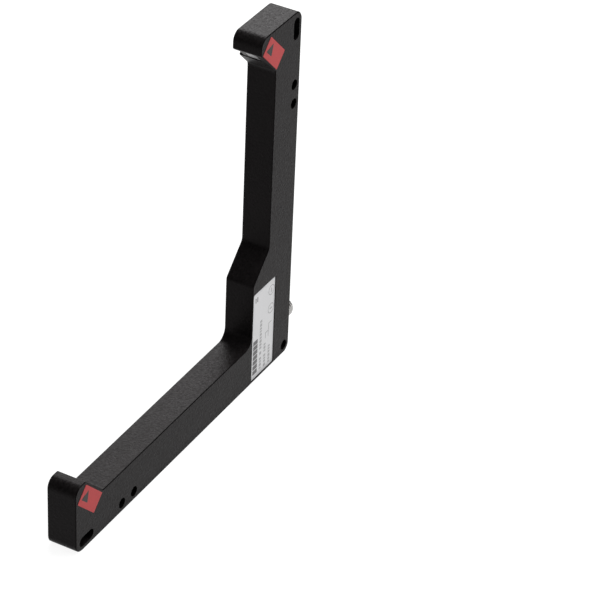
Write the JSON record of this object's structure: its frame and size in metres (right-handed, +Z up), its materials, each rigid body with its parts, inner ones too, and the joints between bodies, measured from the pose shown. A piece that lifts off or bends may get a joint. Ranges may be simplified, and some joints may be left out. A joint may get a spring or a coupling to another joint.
{
  "type": "angled fork sensor",
  "caption": "L-shaped photoelectric sensor: a thin right-angled metal body with slanted heads that face each other across the inside, through holes for fixing, a type plate and a round plug.",
  "frame": {"origin": "centre of the corner mounting hole on the back face", "axes": "+Y out of the back face, +Z up along the upright leg, -X along the lower leg, the label face looks along -Y"},
  "size_m": [0.1572, 0.0121, 0.1499],
  "materials": {
    "anodised": "black anodised, fine matt grain",
    "screw_steel": "satin",
    "nickel": "nickel plated",
    "gold": "gold plated",
    "plate": "pale printed film",
    "mark_red": "red printed film",
    "pane": "clear pane",
    "lens": "clear",
    "black_plastic": "moulded",
    "board": "solder resist",
    "chip": "moulded",
    "ceramic": "ceramic",
    "lamp": "clear resin",
    "seal": "soft",
    "blue_plastic": "moulded",
    "clear_plastic": "clear"
  },
  "bodies": {
    "sensor_body": {"housing": "anodised", "back_cover": "anodised", "cover_seal": "seal", "cover_screws": "screw_steel", "type_label": "plate", "receiver_mark": "mark_red", "emitter_mark": "mark_red", "emitter_window": "pane", "receiver_window": "pane", "emitter_holder": "black_plastic", "receiver_holder": "black_plastic", "emitter_lens": "lens", "receiver_lens": "lens", "emitter_board": "board", "receiver_board": "board", "emitter_led": "lamp", "receiver_diode": "chip", "main_board": "board", "board_screws": "screw_steel", "controller_chip": "chip", "voltage_regulator": "chip", "output_transistor": "chip", "capacitors": "ceramic", "amplifier_chip": "chip", "driver_chip": "chip", "connector_shell": "nickel", "connector_insert": "black_plastic", "connector_pins": "gold", "connector_seal": "seal", "trimmer_body": "blue_plastic", "light_guide": "clear_plastic", "status_led": "lamp"},
    "adjuster": {"adjuster_spindle": "black_plastic", "adjuster_seal": "seal", "trimmer_rotor": "clear_plastic"}
  },
  "joints": [
    {"name": "sensitivity_turn", "type": "hinge", "parent": "sensor_body", "child": "adjuster", "pos_m": [0.00375, -0.006, 0.02325], "axis": [1, 0, 0], "range_deg": [-135, 135]}
  ]
}
